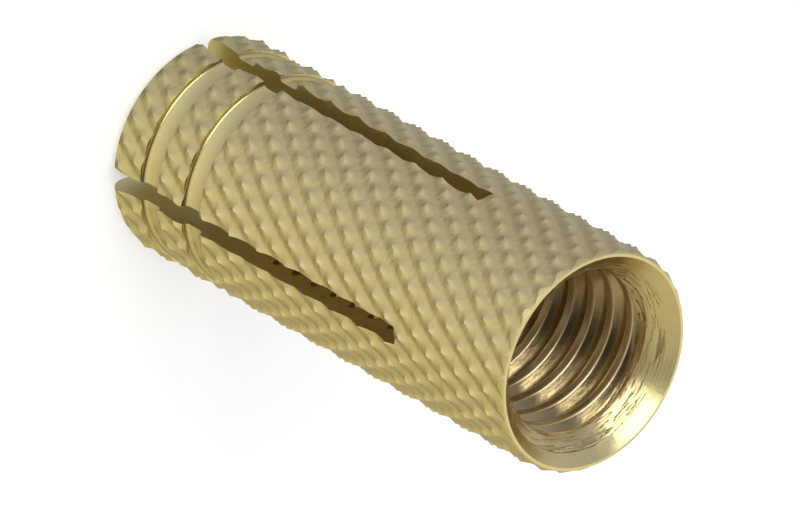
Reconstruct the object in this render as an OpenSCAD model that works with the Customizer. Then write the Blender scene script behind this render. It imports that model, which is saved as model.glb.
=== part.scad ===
// Expansion anchor: a knurled brass sleeve with a screw thread in its mouth and saw cuts
// in its other end, which is spread by a screw that is driven in.
// The sleeve stands on its slotted end, with +Z along its axis towards the mouth.

/* [Sleeve] */
// Length from the slotted end to the mouth
sleeve_length = 31; // [28:0.5:40]
// Thickness of the wall between the thread and the tops of the knurl
wall = 1; // [0.8:0.05:1.5]
// Radius of the outer corner at the slotted end
end_round = 1.1; // [0.5:0.1:1.3]

/* [Mouth] */
// Length of the outer chamfer along the axis
chamfer_length = 0.4; // [0.2:0.1:0.8]
// Depth of the outer chamfer along the radius
chamfer_depth = 0.3; // [0.1:0.05:0.35]
// Width of the flat land between the chamfer and the countersink
rim_land = 0.15; // [0.1:0.05:0.25]
// Angle that the countersink makes with the axis
countersink_angle = 45; // [35:1:55]

/* [Bore] */
// Nominal diameter of the screw thread
thread_dia = 10; // [9:0.5:12]
// Pitch of the screw thread
thread_pitch = 1.5; // [1.25:0.25:1.75]
// Length of the tapped bore, from the mouth
thread_depth = 19; // [14:0.5:20]
// Diameter of the narrow bore at the slotted end
wedge_dia = 6.2; // [5.6:0.1:7]
// Length of the narrow bore
wedge_length = 5; // [3:0.5:7]

/* [Slots] */
// Number of saw cuts right across the sleeve, each making two slots
slot_cuts = 2; // [1:1:3]
// Width of a saw cut
slot_width = 1; // [0.8:0.1:1.3]
// Length of the slots from the slotted end
slot_length = 22.6; // [20:0.1:24]

/* [Grooves] */
// Width of each turned groove
groove_width = 1.4; // [1:0.1:1.6]
// Depth of each turned groove under the tops of the knurl
groove_depth = 0.5; // [0.4:0.05:0.7]
// Radius in the bottom corners of a groove
groove_round = 0.15; // [0.1:0.05:0.3]
// Width of the knurled band between the slotted end and the first groove
end_band = 2.45; // [2:0.05:3.5]
// Width of the knurled band between the two grooves
middle_band = 1.95; // [1.5:0.05:2.5]

/* [Knurl] */
// Number of knurl cuts of each hand round the sleeve
knurl_starts = 28; // [22:1:32]
// Angle that the deep cuts make with the axis
deep_angle = 32.5; // [28:0.1:36]
// Angle that the shallow cuts, which lean the other way, make with the axis
shallow_angle = 29.9; // [26:0.1:34]
// Depth of the deep cuts under the tops of the knurl
deep_depth = 0.2; // [0.1:0.05:0.3]
// Depth of the shallow cuts as a share of the deep ones' depth
shallow_share = 0.6; // [0.3:0.05:0.9]
// Height of one top of the knurl over the slotted end
knurl_shift = 0.95; // [0:0.05:1.1]
// Angle at which that top stands round the sleeve
knurl_turn = 5.3; // [0:0.1:12.8]

/* [Hidden] */
$fn = 96;

overcut = 1;
sleeve_r = thread_dia / 2 + wall;
rim_r = sleeve_r - chamfer_depth;
countersink_r = rim_r - rim_land;
tap_drill_r = (thread_dia - thread_pitch) / 2;
countersink_depth = (countersink_r - tap_drill_r) / tan(countersink_angle);
thread_end = sleeve_length - thread_depth;
wedge_r = wedge_dia / 2;

// The corner's arc runs this far past the knurl, so that it meets the tops at an angle
corner_run = 0.05;

// The tops of the knurl stand in rows, one above the other. Each row is turned so far that
// the deep cuts run straight between the tops, and so do the shallow cuts the other way.
column_turn = 360 / knurl_starts;
column_width = 2 * PI * sleeve_r / knurl_starts;
lean = tan(deep_angle) + tan(shallow_angle);
row_height = column_width / lean;
row_turn = column_turn * tan(deep_angle) / lean;
rows = ceil(sleeve_length / row_height) + 5;
first_row = -3;
shallow_depth = shallow_share * deep_depth;

// A shallow cut ends this share of a column beside the tops, where the deep cuts' sides
// are as deep as it is
shallow_end = shallow_share / 2;

// The point at a place in a row, at a depth under the tops
function knurl_point(place, row, depth) =
    let (turn = knurl_turn + place * column_turn + (first_row + row) * row_turn)
    [
        (sleeve_r - depth) * cos(turn),
        (sleeve_r - depth) * sin(turn),
        knurl_shift + (first_row + row) * row_height
    ];

// Where the points stand in the polyhedron's list: the tops, the two ends of each shallow
// cut above a top, and the crossings beside the tops
function column(place) = (place + knurl_starts) % knurl_starts;
function top(place, row) = (row - 1) * knurl_starts + column(place);
function cut_end(place, row, side) =
    ((rows - 1) + 2 * row + side) * knurl_starts + column(place);
function crossing(place, row) = ((rows - 1) + 2 * rows + row) * knurl_starts + column(place);
function end_centre(side) = ((rows - 1) + 2 * rows + rows + 1) * knurl_starts + side;

// The points round a diamond, clockwise from the shallow cut above its top
function diamond_rim(place, row) = [
    cut_end(place, row, 0), cut_end(place, row, 1),
    crossing(place, row), crossing(place, row - 1),
    cut_end(place, row - 1, 1), cut_end(place, row - 1, 0),
    crossing(place - 1, row), crossing(place - 1, row + 1)
];

// The rims of the bar below its first row of diamonds and above its last one
function lower_rim(place) = [
    cut_end(place, 0, 0), cut_end(place, 0, 1), crossing(place, 0), crossing(place, 1),
    cut_end(place + 1, 0, 0)
];
function upper_rim(place) = [
    cut_end(place, rows - 1, 0), cut_end(place, rows - 1, 1), crossing(place, rows - 1),
    crossing(place, rows), cut_end(place + 1, rows - 1, 0)
];

module knurled_bar() {
    places = [0:knurl_starts - 1];
    tops = [
        for (row = [1:rows - 1], place = places) knurl_point(place, row, 0)
    ];
    cut_ends = [
        for (row = [0:rows - 1], side = [-1, 1], place = places)
            knurl_point(
                place + side * shallow_end, row + 0.5 - side * shallow_end, shallow_depth
            )
    ];
    crossings = [
        for (row = [0:rows], place = places) knurl_point(place + 0.5, row, deep_depth)
    ];
    end_centres = [for (row = [0, rows]) [0, 0, knurl_shift + (first_row + row) * row_height]];
    faces = [
        for (row = [1:rows - 1], place = places)
            let (rim = diamond_rim(place, row))
            for (i = [0:7]) [top(place, row), rim[i], rim[(i + 1) % 8]],
        for (place = places)
            let (low = lower_rim(place), high = upper_rim(place))
            for (i = [0:3]) each [
                [end_centre(0), low[i], low[i + 1]],
                [end_centre(1), high[i + 1], high[i]]
            ]
    ];
    polyhedron(concat(tops, cut_ends, crossings, end_centres), faces);
}

// Section of a turned groove, with its floor at x = 0
module groove_section() {
    reach = groove_depth + 2 * overcut;
    translate([groove_round, 0]) square([reach, groove_width]);
    translate([0, groove_round]) square([reach, groove_width - 2 * groove_round]);
    for (y = [groove_round, groove_width - groove_round])
        translate([groove_round, y]) circle(groove_round);
}

// Everything outside the rounded corner at the slotted end
module corner_section() {
    centre = [sleeve_r - end_round + corner_run, end_round];
    difference() {
        translate([centre.x, -overcut]) square([end_round + 2 * overcut, end_round + overcut]);
        translate(centre) circle(end_round);
    }
}

// Everything outside the chamfer at the mouth
module chamfer_section() {
    run = overcut / chamfer_depth + 1;
    polygon([
        [rim_r, sleeve_length],
        [rim_r + run * chamfer_depth, sleeve_length - run * chamfer_length],
        [sleeve_r + 2 * overcut, sleeve_length - run * chamfer_length],
        [sleeve_r + 2 * overcut, sleeve_length + overcut],
        [rim_r, sleeve_length + overcut]
    ]);
}

// What the lathe leaves of the bar: its length, its two end corners and its grooves
module turned_blank() {
    rotate_extrude() difference() {
        square([sleeve_r + overcut, sleeve_length]);
        corner_section();
        chamfer_section();
        for (z = [end_band, end_band + groove_width + middle_band])
            translate([sleeve_r - groove_depth, z]) groove_section();
    }
}

// Countersink, tap drill hole, and the taper down to the narrow bore
module bore() {
    flare = overcut * tan(countersink_angle);
    rotate_extrude() polygon([
        [0, -overcut],
        [wedge_r, -overcut],
        [wedge_r, wedge_length],
        [tap_drill_r, thread_end],
        [tap_drill_r, sleeve_length - countersink_depth],
        [countersink_r + flare, sleeve_length + overcut],
        [0, sleeve_length + overcut]
    ]);
}

module saw_cuts() {
    span = 2 * (sleeve_r + overcut);
    for (cut = [0:slot_cuts - 1])
        rotate([0, 0, cut * 180 / slot_cuts])
            translate([-span / 2, -slot_width / 2, -overcut])
                cube([span, slot_width, slot_length + overcut]);
}

module sleeve() {
    color("#b5a778") difference() {
        intersection() {
            knurled_bar();
            turned_blank();
        }
        bore();
        saw_cuts();
    }
}

sleeve();
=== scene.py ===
# %% [markdown]
# # A brass expansion anchor
# The real object is a short brass tube that is pushed into a drilled hole. Its outside is
# knurled, so that it grips the wall of the hole. Its mouth is countersunk and tapped, and two
# saw cuts split its other end into four legs, which a screw spreads as it is driven in.
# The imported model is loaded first. It is the fixed frame: it says how large the piece is and
# where it stands, and the detailed piece that is made here takes its place.

# %% Load the frame
from math import ceil, cos, hypot, pi, radians, sin, tan

import bmesh
import bpy
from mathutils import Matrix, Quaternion, Vector


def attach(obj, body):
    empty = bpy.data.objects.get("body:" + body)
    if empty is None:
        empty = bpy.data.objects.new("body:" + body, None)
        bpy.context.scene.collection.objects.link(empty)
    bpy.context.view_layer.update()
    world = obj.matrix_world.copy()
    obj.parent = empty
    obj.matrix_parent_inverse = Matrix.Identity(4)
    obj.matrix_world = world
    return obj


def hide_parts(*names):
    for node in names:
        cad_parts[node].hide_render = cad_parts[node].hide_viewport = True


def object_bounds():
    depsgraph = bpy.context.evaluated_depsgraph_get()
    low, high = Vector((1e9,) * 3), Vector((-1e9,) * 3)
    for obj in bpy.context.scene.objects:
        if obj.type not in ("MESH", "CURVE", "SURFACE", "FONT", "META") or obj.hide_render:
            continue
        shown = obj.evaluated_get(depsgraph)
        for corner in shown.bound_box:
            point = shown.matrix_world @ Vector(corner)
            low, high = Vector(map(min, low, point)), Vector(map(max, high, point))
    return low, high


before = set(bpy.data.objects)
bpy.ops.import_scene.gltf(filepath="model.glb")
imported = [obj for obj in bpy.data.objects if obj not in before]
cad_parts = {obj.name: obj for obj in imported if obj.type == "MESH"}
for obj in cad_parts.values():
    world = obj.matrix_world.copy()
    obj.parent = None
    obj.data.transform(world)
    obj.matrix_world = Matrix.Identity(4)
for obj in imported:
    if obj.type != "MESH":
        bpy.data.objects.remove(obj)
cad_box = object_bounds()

MM = 0.001
radius = cad_box[1].x / MM
length = cad_box[1].z / MM
print(f"The sleeve is {length:.2f} mm long and {2 * radius:.2f} mm over the knurl")

# %% [markdown]
# ## Working in edit mode by code
# An operator acts on what is selected, as it does under the mouse. So each step below first
# says which piece it works on, and then picks vertices or edges by where they are. All shapes
# are drawn in millimetres, because numbers such as 0.3 are easier to read than 0.0003, and
# the finished piece is brought down to metres in one go at the end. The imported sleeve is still
# selected after it was loaded, so everything is deselected first.

# %% Helpers that select
NEAR = 0.001


def only(piece):
    """Goes to object mode with just this piece selected."""
    if bpy.context.object and bpy.context.object.mode != "OBJECT":
        bpy.ops.object.mode_set(mode="OBJECT")
    bpy.ops.object.select_all(action="DESELECT")
    piece.select_set(True)
    bpy.context.view_layer.objects.active = piece


def pick(kind, wanted, rim=False):
    """In edit mode, selects the VERTs or EDGEs whose middle passes the test.

    With rim, only open edges are taken, which have a face on one side alone.
    """
    bpy.ops.mesh.select_mode(type=kind)
    bpy.ops.mesh.select_all(action="DESELECT")
    mesh = bpy.context.edit_object.data
    shape = bmesh.from_edit_mesh(mesh)
    for part in shape.verts if kind == "VERT" else shape.edges:
        corners = [part.co] if kind == "VERT" else [corner.co for corner in part.verts]
        middle = sum(corners, Vector()) / len(corners)
        if wanted(middle) and (part.is_boundary or not rim):
            part.select_set(True)
    shape.select_flush_mode()
    bmesh.update_edit_mesh(mesh)


# %% Helper that measures
def describe(piece):
    """Prints how large a piece is, in the unit that it is drawn in."""
    size = ", ".join(f"{side:.2f}" for side in piece.dimensions)
    print(f"{piece.name}: {len(piece.data.polygons)} faces, size {size}")


bpy.ops.object.select_all(action="DESELECT")

# %% [markdown]
# ## One diamond of the knurl
# A knurl is two sets of slanting cuts that cross, with a small diamond left between four
# cuts. On this sleeve one set is deeper than the other and leans a little more, and all the
# cuts are so wide that only narrow tops are left between them.
# It could be cut out of a cylinder with dozens of slanting cutters, but then every edge would
# be razor sharp. Here one diamond is modelled on a flat sheet: a plane's corners are moved to
# the four crossings round the diamond, and the plane is divided in four each way.

# %% Knurl sizes
STARTS = 28
DEEP_ANGLE = radians(32.5)
SHALLOW_ANGLE = radians(29.9)
KNURL_SHIFT = 0.95
KNURL_TURN = radians(5.3)
column = 2 * pi * radius / STARTS
row = column / (tan(DEEP_ANGLE) + tan(SHALLOW_ANGLE))
deep_step = Vector((row * tan(DEEP_ANGLE), 0, row))
shallow_step = Vector((row * tan(SHALLOW_ANGLE), 0, -row))
print(f"A diamond is {column:.3f} mm wide and {2 * row:.3f} mm high")

# %% Draw the diamond
bpy.ops.mesh.primitive_plane_add(size=2, rotation=(pi / 2, 0, 0))
knurl = bpy.context.object
knurl.name = "knurl"
bpy.ops.object.transform_apply(rotation=True)
bpy.ops.object.mode_set(mode="EDIT")
for x in (-1, 1):
    for z in (-1, 1):
        corner = Vector((x, 0, z))
        crossing = (x * deep_step + z * shallow_step) / 2
        pick("VERT", lambda place: (place - corner).length < NEAR)
        bpy.ops.transform.translate(value=crossing - corner)
bpy.ops.mesh.select_all(action="SELECT")
bpy.ops.mesh.subdivide(number_cuts=3)
print(f"Its crossings are {deep_step.length:.2f} and {shallow_step.length:.2f} mm apart")

# %% [markdown]
# The top of the diamond stays where it is, and the other points are pushed in, the further
# the nearer they are to a cut. SLOPE says how deep a point lies that is a share of a diamond
# away from the top. Creases along the tops and the bottoms of the cuts keep them crisp when
# the sheet is softened later.

# %% Push its points in
DEEP_DEPTH = 0.29
SHALLOW_DEPTH = 0.21
SLOPE = {0: 0, 0.25: 0.72, 0.5: 1}
CREASE = 0.7
ON_LINE = 0.01


def shares(place):
    """Says how many diamonds a place is from the top along the deep and the shallow cuts."""
    along_shallow = (place.x - place.z * tan(DEEP_ANGLE)) / column
    return abs(along_shallow + place.z / row), abs(along_shallow)


for from_shallow in SLOPE:
    for from_deep in SLOPE:
        lines = (from_shallow, from_deep)
        pick("VERT", lambda place: all(
            abs(share - line) < ON_LINE for share, line in zip(shares(place), lines)
        ))
        depth = max(SLOPE[from_shallow] * SHALLOW_DEPTH, SLOPE[from_deep] * DEEP_DEPTH)
        bpy.ops.transform.translate(value=(0, depth, 0))
for line in (0, 0.5):
    pick("EDGE", lambda place: min(abs(share - line) for share in shares(place)) < ON_LINE)
    bpy.ops.transform.edge_crease(value=CREASE)
only(knurl)
describe(knurl)

# %% [markdown]
# ## The knurled sheet
# A real knurl is rolled in by two wheels that repeat the same mark over and over. Copies of
# the diamond could be placed by hand, but two Array modifiers keep them exactly in step: one
# repeats the diamond round the sleeve, and one repeats that band up along the deep cuts. The
# sheet is made longer than the sleeve, because its zigzag ends are cut away later.

# %% Fill the sheet
ROWS_BELOW = 3
ROWS_ABOVE = 2
rows = ceil(length / row) + ROWS_BELOW + ROWS_ABOVE
first_top = Vector((radius * KNURL_TURN, 0, KNURL_SHIFT)) - ROWS_BELOW * deep_step
bpy.ops.object.mode_set(mode="EDIT")
bpy.ops.mesh.select_all(action="SELECT")
bpy.ops.transform.translate(value=first_top)
only(knurl)
for name, count, step in (("round", STARTS, (column, 0, 0)), ("along", rows, deep_step)):
    array = knurl.modifiers.new(name, "ARRAY")
    array.count = count
    array.use_relative_offset = False
    array.use_constant_offset = True
    array.constant_offset_displace = step
    bpy.ops.object.modifier_apply(modifier=name)
describe(knurl)

# %% [markdown]
# ## The knurled bar
# A Simple Deform modifier bends the flat sheet round until its ends meet, as a label is
# rolled round a tin. Its angle is given so that the sheet's length becomes the sleeve's
# girth. A Subdivision modifier then rounds what isn't creased, because pressed metal flows
# round such edges. That takes a little off the tops, so the tube is widened again until they
# reach the sleeve's own radius.

# %% Bend the sheet round
bend = knurl.modifiers.new("bend", "SIMPLE_DEFORM")
bend.deform_method = "BEND"
bend.deform_axis = "Z"
bend.angle = knurl.dimensions.x / radius
bpy.ops.object.modifier_apply(modifier="bend")
bpy.ops.object.mode_set(mode="EDIT")
bpy.ops.mesh.select_all(action="SELECT")
bpy.ops.transform.translate(value=(0, -radius, 0))
bpy.ops.mesh.remove_doubles(threshold=2 * NEAR)
only(knurl)
describe(knurl)

# %% Soften the knurl
soften = knurl.modifiers.new("soften", "SUBSURF")
soften.levels = 1
bpy.ops.object.modifier_apply(modifier="soften")
reach = max(hypot(vertex.co.x, vertex.co.y) for vertex in knurl.data.vertices)
dip = min(hypot(vertex.co.x, vertex.co.y) for vertex in knurl.data.vertices)
print(f"Softened, the knurl is {reach - dip:.3f} mm deep and {radius - reach:.3f} mm too low")
bpy.ops.object.mode_set(mode="EDIT")
bpy.ops.mesh.select_all(action="SELECT")
widen = radius / reach
bpy.ops.transform.resize(value=(widen, widen, 1), center_override=(0, 0, 0))
only(knurl)
describe(knurl)

# %% [markdown]
# The sheet is now an open tube with zigzag ends. A solid is needed, because it is cut next,
# so each end is drawn out past the sleeve, flattened and filled with one face.

# %% Close the bar's ends
END_REACH = 3 * row


def close_end(side, height):
    """Draws the lower (-1) or upper (1) rim of the bar out to a height, and fills it."""
    pick("EDGE", lambda place: (place.z - length / 2) * side > 0, rim=True)
    bpy.ops.mesh.extrude_edges_move(TRANSFORM_OT_translate={"value": (0, 0, side * row)})
    bpy.ops.transform.resize(value=(1, 1, 0), center_override=(0, 0, height))
    bpy.ops.mesh.edge_face_add()


bpy.ops.object.mode_set(mode="EDIT")
close_end(-1, -END_REACH)
close_end(1, length + END_REACH)
bpy.ops.mesh.select_all(action="SELECT")
bpy.ops.mesh.normals_make_consistent(inside=False)
only(knurl)
describe(knurl)

# %% [markdown]
# ## Turned shapes
# A lathe gives a round piece whose outline is the path of the tool. Such a piece could be
# built up from cylinders and cones, but Blender's Spin does what the lathe does: half of the
# outline is drawn once and swept round the axis. The outline starts as a plane whose corners
# are merged into one vertex, and that vertex is extruded from point to point. Corners that
# the real tool leaves round get a vertex bevel before the sweep.


# %% Helper that draws an outline
def draw_outline(name, points, rounds=()):
    """Draws a line through points of radius and height.

    Rounds are corners to ease: a point of the line, a radius and a number of segments each.
    """
    bpy.ops.mesh.primitive_plane_add(size=1)
    outline = bpy.context.object
    outline.name = name
    bpy.ops.object.mode_set(mode="EDIT")
    bpy.ops.mesh.select_mode(type="VERT")
    bpy.ops.mesh.select_all(action="SELECT")
    bpy.ops.mesh.merge(type="CENTER")
    bpy.ops.transform.translate(value=(points[0][0], 0, points[0][1]))
    for (r_from, z_from), (r_to, z_to) in zip(points, points[1:]):
        step = (r_to - r_from, 0, z_to - z_from)
        bpy.ops.mesh.extrude_vertices_move(TRANSFORM_OT_translate={"value": step})
    for (r, z), corner_round, segments in rounds:
        corner = Vector((r, 0, z))
        pick("VERT", lambda place: (place - corner).length < NEAR)
        bpy.ops.mesh.bevel(offset=corner_round, segments=segments, affect="VERTICES")
    return outline


# %% Helper that spins it
TURNING_STEPS = 180


def spin():
    """Sweeps the outline that is in edit mode once round the axis, and closes it."""
    bpy.ops.mesh.select_all(action="SELECT")
    bpy.ops.mesh.spin(steps=TURNING_STEPS, angle=2 * pi, center=(0, 0, 0), axis=(0, 0, 1))
    bpy.ops.mesh.select_all(action="SELECT")
    bpy.ops.mesh.remove_doubles(threshold=NEAR)
    bpy.ops.mesh.normals_make_consistent(inside=False)


print(f"A turned piece has {TURNING_STEPS} steps, {360 // TURNING_STEPS} degrees apart")

# %% [markdown]
# ## The turned blank
# The bar is turned after it has been knurled: it is cut to length, its lower corner is
# rounded, two grooves are cut near that end and the mouth gets a chamfer. Each of these could
# be a cut of its own, but all of them together are one outline. It runs a little outside the
# knurl's tops, so that it only removes metal where the lathe's tool does. The tool's nose
# leaves the bottom corners of the grooves well rounded.

# %% Sizes of the blank
END_ROUND = 1.1
END_BAND = 2.45
MIDDLE_BAND = 1.95
GROOVE_WIDTH = 1.4
GROOVE_DEPTH = 0.5
GROOVE_ROUND = 0.28
CHAMFER_DEPTH = 0.3
CHAMFER_LENGTH = 0.4
END_SEGMENTS = 10
GROOVE_SEGMENTS = 4
CLEAR = 0.05
outside = radius + CLEAR
floor_r = radius - GROOVE_DEPTH
rim_r = radius - CHAMFER_DEPTH
grooves = (END_BAND, END_BAND + GROOVE_WIDTH + MIDDLE_BAND)
chamfer_start = length - CHAMFER_LENGTH * (1 + CLEAR / CHAMFER_DEPTH)
print(f"The grooves start {grooves[0]:.2f} and {grooves[1]:.2f} mm above the slotted end")

# %% Turn the blank
points = [(0, 0), (outside, 0)]
rounds = [(points[1], END_ROUND, END_SEGMENTS)]
for bottom in grooves:
    top = bottom + GROOVE_WIDTH
    points += [(outside, bottom), (floor_r, bottom), (floor_r, top), (outside, top)]
    rounds += [((floor_r, z), GROOVE_ROUND, GROOVE_SEGMENTS) for z in (bottom, top)]
points += [(outside, chamfer_start), (rim_r, length), (0, length)]
blank = draw_outline("blank", points, rounds)
spin()
only(blank)
describe(blank)

# %% [markdown]
# ## The bore
# From the slotted end the bore starts narrow, opens in a long taper, which the screw's tip
# wedges apart, and becomes the hole for the thread. At the mouth a countersink leads the
# screw in. It could be part of the blank's outline, but as a solid of its own, which is then
# subtracted, it can be changed and looked at alone. In the tapped stretch it stays just under
# the thread's crests, so that the thread's own cutter leaves them.

# %% Turn the bore
THREAD_DIA = 10.0
PITCH = 1.5
THREAD_DEPTH = 19.0
NARROW_DIA = 6.2
NARROW_LENGTH = 5.0
RIM_LAND = 0.15
COUNTERSINK = radians(45)
OVERCUT = 1.0
crest_r = (THREAD_DIA - PITCH) / 2
core_r = crest_r - CLEAR
countersink_r = rim_r - RIM_LAND
points = [
    (0, -OVERCUT),
    (NARROW_DIA / 2, -OVERCUT),
    (NARROW_DIA / 2, NARROW_LENGTH),
    (core_r, length - THREAD_DEPTH),
    (core_r, length - (countersink_r - core_r) / tan(COUNTERSINK)),
    (countersink_r + OVERCUT * tan(COUNTERSINK), length + OVERCUT),
    (0, length + OVERCUT),
]
bore = draw_outline("bore", points)
spin()
only(bore)
describe(bore)

# %% [markdown]
# ## The screw thread
# A tap cuts an M10 thread with a pitch of 1.5 mm: flanks at 60 degrees to each other, a
# narrow flat at the bottom and a wider one on the crests. A bump in a material would look
# flat in the open mouth, so the thread is modelled. One pitch of its outline is drawn, its
# corners are eased, and a Screw modifier sweeps it upwards, one pitch for each turn. The
# result is the tap's own shape, which is closed and then subtracted.

# %% Draw one pitch of the tap
ROOT_FLAT = PITCH / 8
ROOT_ROUND = 0.09
CREST_ROUND = 0.1
TAP_SEGMENTS = 3
FLANK = radians(30)
root_r = THREAD_DIA / 2
flank_run = (root_r - crest_r) * tan(FLANK)
half_crest = (PITCH - ROOT_FLAT) / 2 - flank_run
points = [
    (crest_r, 0),
    (crest_r, half_crest),
    (root_r, half_crest + flank_run),
    (root_r, half_crest + flank_run + ROOT_FLAT),
    (crest_r, PITCH - half_crest),
    (crest_r, PITCH),
]
eased = (CREST_ROUND, ROOT_ROUND, ROOT_ROUND, CREST_ROUND)
rounds = [(point, size, TAP_SEGMENTS) for point, size in zip(points[1:5], eased)]
tap = draw_outline("tap", points, rounds)
print(f"The crests are {2 * half_crest:.2f} mm wide and the roots {ROOT_FLAT:.2f} mm")

# %% Sweep it upwards
THREAD_STEPS = 90
THREAD_START = 11.3
THREAD_TURNS = 14
bpy.ops.mesh.select_all(action="SELECT")
bpy.ops.transform.translate(value=(0, 0, THREAD_START))
only(tap)
sweep = tap.modifiers.new("sweep", "SCREW")
sweep.screw_offset = PITCH
sweep.iterations = THREAD_TURNS - 1
sweep.steps = sweep.render_steps = THREAD_STEPS
sweep.use_merge_vertices = True
sweep.merge_threshold = NEAR
bpy.ops.object.modifier_apply(modifier="sweep")
describe(tap)

# %% [markdown]
# The ends of the sweep are one full turn with a step in it. Each is drawn in to a single
# point on the axis, which closes the tap like the tip of a cone.


# %% Close the tap
def draw_in(side, height):
    """Draws the lower (-1) or upper (1) rim of the tap in to a point on the axis."""
    half_way = THREAD_START + THREAD_TURNS * PITCH / 2
    pick("EDGE", lambda place: (place.z - half_way) * side > 0, rim=True)
    bpy.ops.mesh.extrude_edges_move()
    bpy.ops.transform.resize(value=(0, 0, 0), center_override=(0, 0, height))
    bpy.ops.mesh.merge(type="CENTER")


bpy.ops.object.mode_set(mode="EDIT")
bpy.ops.mesh.select_all(action="SELECT")
bpy.ops.mesh.remove_doubles(threshold=NEAR)
draw_in(-1, THREAD_START + PITCH / 2)
draw_in(1, THREAD_START + (THREAD_TURNS - 0.5) * PITCH)
bpy.ops.mesh.select_all(action="SELECT")
bpy.ops.mesh.normals_make_consistent(inside=False)
only(tap)
describe(tap)

# %% [markdown]
# ## The saw cuts
# A thin circular saw splits the sleeve twice, right across, so that two cuts give four slots.
# Four short notches would do as well, but each real cut goes through both walls, so each saw
# is one slab, as thick as the blade.

# %% Model the saws
SLOT_WIDTH = 1.0
SLOT_LENGTH = 22.6
saws = []
for turn in (0, pi / 2):
    bpy.ops.mesh.primitive_cube_add(
        size=1,
        location=(0, 0, (SLOT_LENGTH - OVERCUT) / 2),
        rotation=(0, 0, turn),
        scale=(2 * (radius + OVERCUT), SLOT_WIDTH, SLOT_LENGTH + OVERCUT),
    )
    saw = bpy.context.object
    saw.name = f"saw_{len(saws) + 1}"
    bpy.ops.object.transform_apply(location=True, rotation=True, scale=True)
    saws.append(saw)
    describe(saw)

# %% [markdown]
# ## Cutting the sleeve
# Now the order of the workshop is repeated with Boolean modifiers. The blank keeps what lies
# inside the knurled bar, and then the bore, the tap and the two saws are subtracted. The
# finishes could be picked face by face afterwards, but each tool leaves its own, so each
# tool's material is handed on to the faces that it cuts.


# %% Finishes for the tools
def finish_named(name, *pieces):
    """Makes a material and gives it to the pieces whose faces it will end up on."""
    material = bpy.data.materials.new(name)
    material.use_nodes = True
    for piece in pieces:
        piece.data.materials.clear()
        piece.data.materials.append(material)
    print(f"{name}: left by {', '.join(piece.name for piece in pieces)}")
    return material


knurled_brass = finish_named("knurled_brass", knurl)
turned_brass = finish_named("turned_brass", blank, bore)
tapped_brass = finish_named("tapped_brass", tap)
sawn_brass = finish_named("sawn_brass", *saws)


# %% Cut with Boolean modifiers
def cut(piece, tool, operation="DIFFERENCE"):
    """Applies one Boolean modifier and throws the tool away."""
    only(piece)
    boolean = piece.modifiers.new(tool.name, "BOOLEAN")
    boolean.operation = operation
    boolean.object = tool
    boolean.solver = "MANIFOLD"
    boolean.material_mode = "TRANSFER"
    bpy.ops.object.modifier_apply(modifier=boolean.name)
    bpy.data.objects.remove(tool)
    describe(piece)


anchor = blank
anchor.name = "anchor"
cut(anchor, knurl, "INTERSECT")
for tool in (bore, tap, *saws):
    cut(anchor, tool)

# %% [markdown]
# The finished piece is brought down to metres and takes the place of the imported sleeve.
# Smooth shading would smear over its many real edges, so only those under 35 degrees are
# shaded smooth.

# %% Finish the anchor
SMOOTH_BELOW = radians(35)
only(anchor)
bpy.ops.transform.resize(value=(MM, MM, MM), center_override=(0, 0, 0))
bpy.ops.object.transform_apply(location=True, rotation=True, scale=True)
bpy.ops.object.shade_smooth_by_angle(angle=SMOOTH_BELOW)
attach(anchor, "root")
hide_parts("sleeve")
print(f"The anchor is {anchor.dimensions.z:.4f} m long")

# %% [markdown]
# ## Building materials from nodes
# Bare brass gets its look from the traces of what cut it and touched it. A photograph could
# be wrapped round the sleeve, but it would blur close up and show its seam. Patterns that are
# computed from a point's place stay sharp and fit every cut face. What more than one finish
# uses is a node group, which is built once and placed in each with its own numbers.


# %% Node helpers
def add(tree, kind, feeds, **settings):
    """Adds a node, sets its properties, and feeds its inputs with values or outputs."""
    node = tree.nodes.new(kind)
    for name, value in settings.items():
        setattr(node, name, value)
    for name, value in feeds.items():
        if isinstance(value, bpy.types.NodeSocket):
            tree.links.new(value, node.inputs[name])
        else:
            node.inputs[name].default_value = value
    return node


def compute(tree, operation, first, second):
    """Adds a Math node and returns its output."""
    return add(tree, "ShaderNodeMath", {0: first, 1: second}, operation=operation).outputs[0]


def vector(tree, operation, feeds):
    """Adds a Vector Math node and returns the output that its operation fills."""
    node = add(tree, "ShaderNodeVectorMath", feeds, operation=operation)
    return node.outputs["Value" if operation in ("LENGTH", "DOT_PRODUCT") else "Vector"]


# %% Helpers that rescale and mix
def rescale(tree, value, low, high, to_low, to_high):
    """Adds a Map Range node from one range to another and returns its output."""
    feeds = {"Value": value, "From Min": low, "From Max": high}
    feeds |= {"To Min": to_low, "To Max": to_high}
    return add(tree, "ShaderNodeMapRange", feeds).outputs["Result"]


def blend(tree, factor, first, second, kind="RGBA"):
    """Mixes two colours, or with the kind FLOAT two numbers, and returns the output."""
    feeds = {"Factor": factor, "A": first, "B": second}
    return add(tree, "ShaderNodeMix", feeds, data_type=kind).outputs["Result"]


# %% Helpers for node groups
def new_group(name, inputs, output):
    """Makes a group of number sockets, and returns its tree, its inputs and its output."""
    tree = bpy.data.node_groups.new(name, "ShaderNodeTree")
    for socket in inputs:
        tree.interface.new_socket(socket, in_out="INPUT", socket_type="NodeSocketFloat")
    tree.interface.new_socket(output, in_out="OUTPUT", socket_type="NodeSocketFloat")
    start, end = tree.nodes.new("NodeGroupInput"), tree.nodes.new("NodeGroupOutput")
    print(f"{name}: from {', '.join(inputs)} to {output}")
    return tree, start.outputs, end.inputs[output]


def place_group(tree, group, *values):
    """Places a group in a tree, with values for its inputs in order, and returns its output."""
    return add(tree, "ShaderNodeGroup", dict(enumerate(values)), node_tree=group).outputs[0]


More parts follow.
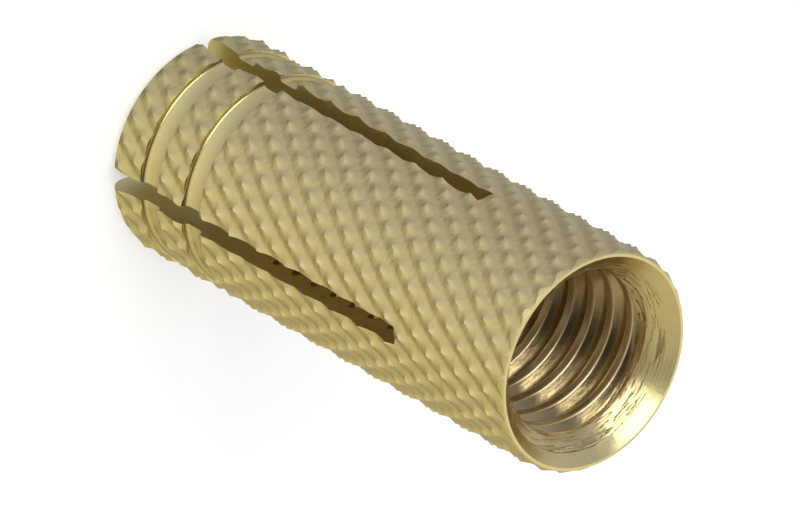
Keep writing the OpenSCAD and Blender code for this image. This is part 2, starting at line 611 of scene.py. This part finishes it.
# %% Helpers for places
def place_in_mm(tree):
    """Adds nodes that give a point's place on the sleeve, in millimetres."""
    place = add(tree, "ShaderNodeTexCoord", {}).outputs["Object"]
    return vector(tree, "SCALE", {0: place, "Scale": 1 / MM})


def from_axis(tree, place):
    """Adds nodes that give a place's distance from the sleeve's axis."""
    return vector(tree, "LENGTH", {0: vector(tree, "MULTIPLY", {0: place, 1: (1, 1, 0)})})


def sides(tree, place):
    """Adds a node that splits a place or a direction into X, Y and Z."""
    return add(tree, "ShaderNodeSeparateXYZ", {0: place}).outputs


# %% [markdown]
# ## Marks of the tools
# The first group draws the fine rings that a lathe leaves. They could be a wave texture, but
# its rings are too even. Here they are a noise that only knows the distance from the axis and
# the height. The second group gives the small dents of handling.

# %% Turning marks
marks, given, height = new_group("turning_marks", ["Marks per mm"], "Height")
place = place_in_mm(marks)
feeds = {"X": from_axis(marks, place), "Y": sides(marks, place)["Z"]}
across = add(marks, "ShaderNodeCombineXYZ", feeds).outputs[0]
feeds = {"Vector": across, "Scale": given["Marks per mm"], "Detail": 3}
rings = add(marks, "ShaderNodeTexNoise", feeds, noise_dimensions="2D")
marks.links.new(rings.outputs["Fac"], height)

# %% Dents
dents, given, height = new_group("dents", ["Dents per mm"], "Height")
feeds = {"Vector": place_in_mm(dents), "Scale": given["Dents per mm"], "Detail": 4}
dents.links.new(add(dents, "ShaderNodeTexNoise", feeds).outputs["Fac"], height)

# %% [markdown]
# ## Dulling
# Brass dulls in clouds where air and fingers have been at it. One even, duller colour would
# look like paint, so a noise says how dull each place is, between a low and a high end.

# %% Dulling
CLOUDS_FROM = 0.3
CLOUDS_TO = 0.7
dulling, given, mask = new_group("dulling", ["Patches per mm", "Low", "High"], "Mask")
feeds = {"Vector": place_in_mm(dulling), "Scale": given["Patches per mm"]}
feeds |= {"Detail": 6, "Roughness": 0.6}
clouds = add(dulling, "ShaderNodeTexNoise", feeds).outputs["Fac"]
ends = (given["Low"], given["High"])
dulling.links.new(rescale(dulling, clouds, CLOUDS_FROM, CLOUDS_TO, *ends), mask)

# %% [markdown]
# ## Masks by place
# Some tones belong to a place: the bottom of the thread, the rim, the slotted end. They could
# be painted on by hand, but the sleeve is round, so the distance from the axis and the height
# are enough to say where they are. Each mask is full at one value and gone at another.


# %% Masks by radius and by height
def fading(name, value_of):
    """Makes a group whose mask fades with a value of the place, in millimetres."""
    tree, given, mask = new_group(name, ["Full at mm", "Gone at mm"], "Mask")
    value = value_of(tree, place_in_mm(tree))
    faded = rescale(tree, value, given["Full at mm"], given["Gone at mm"], 1, 0)
    tree.links.new(faded, mask)
    return tree


by_radius = fading("by_radius", from_axis)
by_height = fading("by_height", lambda tree, place: sides(tree, place)["Z"])

# %% [markdown]
# ## Scuffs
# Where the thread runs out into the countersink, the tap has torn the metal in short streaks
# round the mouth. Modelling each one would take a great many faces. They are a noise that is
# drawn out along the way round, and a mask keeps them between two heights.

# %% Scuffs
STREAKS_ROUND = 2.5
STREAKS_UP = 9
TORN_FROM = 0.52
STREAK_EDGE = 12
BAND_EDGE = 4
scuffs, given, mask = new_group("scuffs", ["From mm", "To mm"], "Mask")
place = sides(scuffs, place_in_mm(scuffs))
level = place["Z"]
way_round = compute(scuffs, "ARCTAN2", place["Y"], place["X"])
feeds = {"X": compute(scuffs, "MULTIPLY", way_round, STREAKS_ROUND)}
feeds["Y"] = compute(scuffs, "MULTIPLY", level, STREAKS_UP)
drawn_out = add(scuffs, "ShaderNodeCombineXYZ", feeds).outputs[0]
feeds = {"Vector": drawn_out, "Scale": 1, "Detail": 3}
streaks = add(scuffs, "ShaderNodeTexNoise", feeds, noise_dimensions="2D").outputs["Fac"]
torn = compute(scuffs, "SUBTRACT", streaks, TORN_FROM)
masked = compute(scuffs, "MULTIPLY", torn, STREAK_EDGE)
for high, low in ((level, given["From mm"]), (given["To mm"], level)):
    inside_band = compute(scuffs, "SUBTRACT", high, low)
    inside_band = compute(scuffs, "MULTIPLY", inside_band, BAND_EDGE)
    masked = compute(scuffs, "MINIMUM", inside_band, masked)
scuffs.links.new(add(scuffs, "ShaderNodeClamp", {"Value": masked}).outputs[0], mask)

# %% [markdown]
# ## The four finishes
# All four are the same alloy. They could be four materials of their own, but then they would
# soon drift apart, so one function builds them all. What differs is how rough the tool left
# the metal, how strong its marks are, how much it has dulled, and the tone that it passes
# into nearer the axis: painted shade in the valleys of the knurl and in the bore, and in the
# thread a painted brown shade in its depth, with a paler, lit tone on its crests.

# %% Colours of the brass
CLEAN = (0.82, 0.69, 0.33, 1)
DULL = (0.72, 0.61, 0.29, 1)
SAWN = (0.80, 0.69, 0.30, 1)
# Painted shade for the knurl's valleys and for the chamfer.
PAINTED_SHADE = (0.64, 0.53, 0.23, 1)
# Painted light: the paler, lit tone of the thread's crests.
CREST = (0.84, 0.68, 0.42, 1)
# Painted brown shade for the bore and the depth of the thread; it also colours the scuffs.
SHADE_AND_SCUFF_BROWN = (0.64, 0.49, 0.24, 1)
print(f"The brass goes from {CLEAN[:3]} where clean to {DULL[:3]} where dulled")


# %% A function that builds brass
def bump(tree, height, depth, under=None):
    """Adds a Bump node that is so many millimetres deep, over another normal if given."""
    feeds = {"Height": height, "Distance": depth * MM}
    if under is not None:
        feeds["Normal"] = under
    return add(tree, "ShaderNodeBump", feeds).outputs["Normal"]


def build_brass(material, colours, patches, dulled, rough, tool_marks, handling, inner=None):
    """Fills a material with brass.

    Colours, dulled and rough are pairs, for where it is cleanest and where it is dullest. Tool
    marks and handling are how many traces there are per mm, and how deep they are in mm. Inner
    is the radii at which another tone is full and gone, and that tone's colour and roughness.
    The inner tone is painted light: shade in hollows, and a lit tone on the thread's crests.
    """
    tree = material.node_tree
    shader = tree.nodes["Principled BSDF"].inputs
    shader["Metallic"].default_value = 1
    cloud = place_group(tree, dulling, patches, *dulled)
    colour = blend(tree, cloud, *colours)
    roughness = rescale(tree, cloud, 0, 1, *rough)
    if inner:
        full, gone, inner_colour, inner_rough = inner
        inside = place_group(tree, by_radius, full, gone)
        colour = blend(tree, inside, colour, inner_colour)
        roughness = blend(tree, inside, roughness, inner_rough, "FLOAT")
    normal = bump(tree, place_group(tree, dents, handling[0]), handling[1])
    normal = bump(tree, place_group(tree, marks, tool_marks[0]), tool_marks[1], normal)
    for name, output in (("Base Color", colour), ("Roughness", roughness), ("Normal", normal)):
        tree.links.new(output, shader[name])
    print(f"{material.name}: {len(tree.nodes)} nodes")


# %% Fill the four finishes
# The knurl's inner tone is painted shade in its valleys. The bore gets painted brown shade, and
# the thread painted brown shade in its depth with a paler, lit tone on its crests.
build_brass(
    knurled_brass, (CLEAN, DULL), patches=0.5, dulled=(0, 1), rough=(0.22, 0.32),
    tool_marks=(6, 0.004), handling=(2.5, 0.05),
    inner=(radius - 0.2, radius - 0.04, PAINTED_SHADE, 0.34),
)
build_brass(
    turned_brass, (CLEAN, DULL), patches=0.4, dulled=(0, 0.7), rough=(0.22, 0.32),
    tool_marks=(8, 0.004), handling=(1.0, 0.01),
    inner=(crest_r, crest_r + 0.4, SHADE_AND_SCUFF_BROWN, 0.3),
)
build_brass(
    tapped_brass, (SHADE_AND_SCUFF_BROWN, SHADE_AND_SCUFF_BROWN), patches=0.4, dulled=(0, 0.8), rough=(0.16, 0.24),
    tool_marks=(8, 0.002), handling=(2.0, 0.01),
    inner=(crest_r + 0.02, crest_r + 0.1, CREST, 0.4),
)
build_brass(
    sawn_brass, (SAWN, DULL), patches=1.0, dulled=(0, 1), rough=(0.35, 0.50),
    tool_marks=(6, 0.006), handling=(2.0, 0.01),
)

# %% [markdown]
# ## Where the thread meets the countersink
# The first turn of the thread runs out into the countersink, and a patch of brown thread in
# the pale cone would look like a fault. The two could be mixed by hand in one material, but
# it is simpler to lay the cone's colour over the thread from a height on, and then the same
# scuffs over both.


# %% Lay the cone's colour over the thread
def lay_colour(material, share, colour):
    """Lays a colour over what a material has, by a share that an output gives."""
    tree = material.node_tree
    socket = tree.nodes["Principled BSDF"].inputs["Base Color"]
    tree.links.new(blend(tree, share, socket.links[0].from_socket, colour), socket)


# The thread's brown is painted shade, and from these heights up the cone's clean colour covers
# it.
PALE_FROM = length - 0.9
BROWN_TO = length - 1.5
tree = tapped_brass.node_tree
lay_colour(tapped_brass, place_group(tree, by_height, PALE_FROM, BROWN_TO), CLEAN)
print(f"The thread turns from brown to pale between {BROWN_TO:.1f} and {PALE_FROM:.1f} mm")

# %% [markdown]
# The chamfer outside the rim was turned too, but it gets the painted shade of the knurl's
# valleys, which tones down the lamp's reflection in it. A material of its own would need a
# tool of its own, so the shade is laid where the turned metal is both far out and high up.

# %% Paint shade on the chamfer
CHAMFER_EDGE = 0.15
CHAMFER_FROM = length - 1
CHAMFER_FULL = length - 0.8
tree = turned_brass.node_tree
far_out = place_group(tree, by_radius, rim_r + CHAMFER_EDGE, rim_r)
high_up = place_group(tree, by_height, CHAMFER_FULL, CHAMFER_FROM)
# Painted shade on the chamfer, in the tone of the knurl's valleys.
lay_colour(turned_brass, compute(tree, "MULTIPLY", far_out, high_up), PAINTED_SHADE)
print(f"The chamfer is duller outside a radius of {rim_r:.2f} mm")

# %% Scuff the mouth
SCUFFED = 0.6
SCUFF_DEPTH = 0.03
SCUFFS_FROM = length - 2.2
SCUFFS_TO = length - 0.5
for material in (turned_brass, tapped_brass):
    tree = material.node_tree
    scuffed = place_group(tree, scuffs, SCUFFS_FROM, SCUFFS_TO)
    lay_colour(material, compute(tree, "MULTIPLY", scuffed, SCUFFED), SHADE_AND_SCUFF_BROWN)
    socket = tree.nodes["Principled BSDF"].inputs["Normal"]
    torn = bump(tree, scuffed, SCUFF_DEPTH, socket.links[0].from_socket)
    tree.links.new(torn, socket)
    print(f"{material.name}: scuffed between {SCUFFS_FROM:.1f} and {SCUFFS_TO:.1f} mm")

# %% [markdown]
# ## Darker towards the slotted end
# Towards the slotted end the brass is made darker and greener, on the knurl, in the grooves
# and most of all in the slots. A second dulling noise could do it, but it would come and go
# all over. A mask by height fades it out along the sleeve.

# %% Darken the slotted end
SLOTTED_END_TONE = (0.62, 0.53, 0.21, 1)
for material, full, gone, share in (
    (knurled_brass, 3, 9, 0.6),
    (turned_brass, 8, 8.5, 0.5),
    (sawn_brass, 8, 12, 0.5),
):
    tree = material.node_tree
    low_down = place_group(tree, by_height, full, gone)
    lay_colour(material, compute(tree, "MULTIPLY", low_down, share), SLOTTED_END_TONE)
    print(f"{material.name}: {share:.0%} darkened up to {full} mm, none from {gone} mm")

# %% [markdown]
# ## Floor
# The sleeve stands on white paper. More light would make the paper white, but it would bleach
# the brass too. So the paper glows a little for the camera alone, and the sleeve's shadow
# stays on it. A polished metal shows its surroundings, and in a surround that is white all
# over the knurl could hardly be seen. So metal and glass look past the paper, into the world.


# %% Lay the paper
def rays(tree):
    """Adds outputs for what the camera sees, and for what it sees in metal or glass."""
    path = add(tree, "ShaderNodeLightPath", {}).outputs
    seen_in = compute(tree, "MAXIMUM", path["Is Glossy Ray"], path["Is Transmission Ray"])
    return path["Is Camera Ray"], seen_in


PAPER = (0.85, 0.85, 0.85, 1)
PAPER_GLOW = 0.45
PAPER_WIDTH = 6
bpy.ops.mesh.primitive_plane_add(size=PAPER_WIDTH)
floor = bpy.context.object
floor.name = "floor"
paper = bpy.data.materials.new("paper")
paper.use_nodes = True
floor.data.materials.append(paper)
tree = paper.node_tree
plain = tree.nodes["Principled BSDF"]
plain.inputs["Base Color"].default_value = PAPER
plain.inputs["Roughness"].default_value = 0.9
seen, seen_in = rays(tree)
glow = add(tree, "ShaderNodeEmission", {"Strength": compute(tree, "MULTIPLY", seen, PAPER_GLOW)})
both = add(tree, "ShaderNodeAddShader", {0: plain.outputs[0], 1: glow.outputs[0]})
gap = add(tree, "ShaderNodeBsdfTransparent", {})
choice = add(tree, "ShaderNodeMixShader", {0: seen_in, 1: both.outputs[0], 2: gap.outputs[0]})
tree.links.new(choice.outputs[0], tree.nodes["Material Output"].inputs["Surface"])
print(f"The paper is {PAPER_WIDTH} m wide")

# %% [markdown]
# ## The world
# To the camera the world is plain white. In the metal it is a room: brightest just below the
# horizon, where a table reflects the light, dim straight down and dark overhead, and brighter
# on the window's side than on the far side. Pictures of a real room are often used for this,
# but a few nodes are enough for a sleeve, and each can be set to what the brass should show.


# %% Brightness by height
def ramp(tree, value, stops):
    """Adds a Color Ramp with stops of (position, grey level) and returns its output."""
    node = add(tree, "ShaderNodeValToRGB", {0: value})
    elements = node.color_ramp.elements
    while len(elements) < len(stops):
        elements.new(0.5)
    for element, (position, level) in zip(elements, stops):
        element.position = position
        element.color = (level, level, level, 1)
    return node.outputs[0]


LEVELS = (
    (0.0, 0.38), (0.06, 0.53), (0.15, 0.8), (0.25, 0.98),
    (0.62, 0.9), (0.81, 0.65), (0.86, 0.35), (0.92, 0.02),
)
world = bpy.data.worlds.new("studio")
bpy.context.scene.world = world
world.use_nodes = True
tree = world.node_tree
direction = add(tree, "ShaderNodeTexCoord", {}).outputs["Generated"]
rise = rescale(tree, sides(tree, direction)["Z"], -1, 1, 0, 1)
mirrored = ramp(tree, rise, LEVELS)
print(f"The room's brightest level is {max(level for position, level in LEVELS)}")


# %% Brightness by side
def way(azimuth, elevation=0):
    """Gives the unit vector that points to an azimuth and an elevation."""
    flat = cos(elevation)
    return Vector((cos(azimuth) * flat, sin(azimuth) * flat, sin(elevation)))


def facing(tree, direction, azimuth, elevation=0):
    """Adds a node that says how well a direction faces a way, from -1 to 1."""
    return vector(tree, "DOT_PRODUCT", {0: direction, 1: way(azimuth, elevation)})


WINDOW = radians(-19)
WINDOW_FOCUS = 2
FAR_SIDE = 0.60
heading = vector(tree, "MULTIPLY", {0: direction, 1: (1, 1, 0)})
heading = vector(tree, "NORMALIZE", {0: heading})
to_window = rescale(tree, facing(tree, heading, WINDOW), -1, 1, 0, 1)
to_window = compute(tree, "POWER", to_window, WINDOW_FOCUS)
side = rescale(tree, to_window, 0, 1, FAR_SIDE, 1)
mirrored = compute(tree, "MULTIPLY", mirrored, side)
print(f"The far side has {FAR_SIDE:.0%} of the window side's light")

# %% [markdown]
# The narrow land round the mouth looks straight up at the room's dark top and would be a
# black line. One patch of sky, opposite the camera, gives it the light that it has on a real
# bench. The light also has a colour: warm on one side, and cool on the other.

# %% Skylight and tint
SKYLIGHT = (radians(141), radians(44))
SKYLIGHT_EDGE = (0.8, 0.95)
SKYLIGHT_LEVEL = 0.9
WHITE = (1.0, 1.0, 1.0, 1)
WARM = (1.0, 0.96, 0.76, 1)
COOL = (0.96, 1.0, 1.25, 1)
to_sky = facing(tree, direction, *SKYLIGHT)
skylight = rescale(tree, to_sky, *SKYLIGHT_EDGE, 0, SKYLIGHT_LEVEL)
mirrored = compute(tree, "MAXIMUM", mirrored, skylight)
warmth = rescale(tree, facing(tree, heading, WINDOW + pi / 2), -1, 1, 0, 1)
tint = blend(tree, warmth, COOL, WARM)
print(f"The skylight's level is {SKYLIGHT_LEVEL}")

# %% Put the world together
WORLD_LIGHT = 0.6
seen, seen_in = rays(tree)
plain = rescale(tree, seen, 0, 1, WORLD_LIGHT, 1)
background = tree.nodes["Background"].inputs
tree.links.new(blend(tree, seen_in, plain, mirrored, "FLOAT"), background["Strength"])
tree.links.new(blend(tree, seen_in, WHITE, tint), background["Color"])
bpy.context.scene.view_settings.view_transform = "Standard"
print(f"{world.name}: {len(tree.nodes)} nodes")

# %% [markdown]
# ## Camera
# The sleeve stands upright, so the camera is rolled until the sleeve lies across the picture.
# It could be laid down instead, but a part is easier to use with its axis upright. The camera
# looks from far away through a long lens, which leaves hardly any perspective.

# %% Camera
CAMERA_AZIMUTH = radians(-39.05)
CAMERA_ELEVATION = radians(43.86)
CAMERA_ROLL = radians(119.31)
CAMERA_DISTANCE = 991.0
CAMERA_LENS = 900
AIM_HEIGHT = 15
AIM_RIGHT = 0.573
AIM_UP = -0.326
back = way(CAMERA_AZIMUTH, CAMERA_ELEVATION)
turn = back.to_track_quat("Z", "Y") @ Quaternion((0, 0, 1), CAMERA_ROLL)
right, up = turn @ Vector((1, 0, 0)), turn @ Vector((0, 1, 0))
aim = Vector((0, 0, AIM_HEIGHT)) + AIM_RIGHT * right + AIM_UP * up
bpy.ops.object.camera_add(location=(aim + back * CAMERA_DISTANCE) * MM)
camera = bpy.context.object
camera.rotation_mode = "QUATERNION"
camera.rotation_quaternion = turn
camera.data.lens = CAMERA_LENS
camera.data.sensor_width = 36
camera.data.clip_end = 10
bpy.context.scene.camera = camera
print(f"The camera is {CAMERA_DISTANCE:.0f} mm away")

# %% [markdown]
# ## Lamp
# One soft lamp stands where the bright spots in the mouth say that it was. A point lamp would
# do, but it would leave dots in the metal. An oblong one leaves the broad streaks that a lit
# window or a light box leaves.

# %% Lamp
LAMP_AZIMUTH = radians(-73)
LAMP_ELEVATION = radians(49)
LAMP_DISTANCE = 0.5
LAMP_SIZE = (0.40, 0.2)
LAMP_POWER = 0.72
away = way(LAMP_AZIMUTH, LAMP_ELEVATION)
middle = Vector((0, 0, length / 2 * MM))
bpy.ops.object.light_add(type="AREA", location=middle + away * LAMP_DISTANCE)
lamp = bpy.context.object
lamp.name = "key"
lamp.rotation_mode = "QUATERNION"
lamp.rotation_quaternion = away.to_track_quat("Z", "Y")
lamp.data.shape = "RECTANGLE"
lamp.data.size, lamp.data.size_y = LAMP_SIZE
lamp.data.energy = LAMP_POWER
print(f"The lamp has {LAMP_POWER} W and stands {LAMP_DISTANCE} m away")
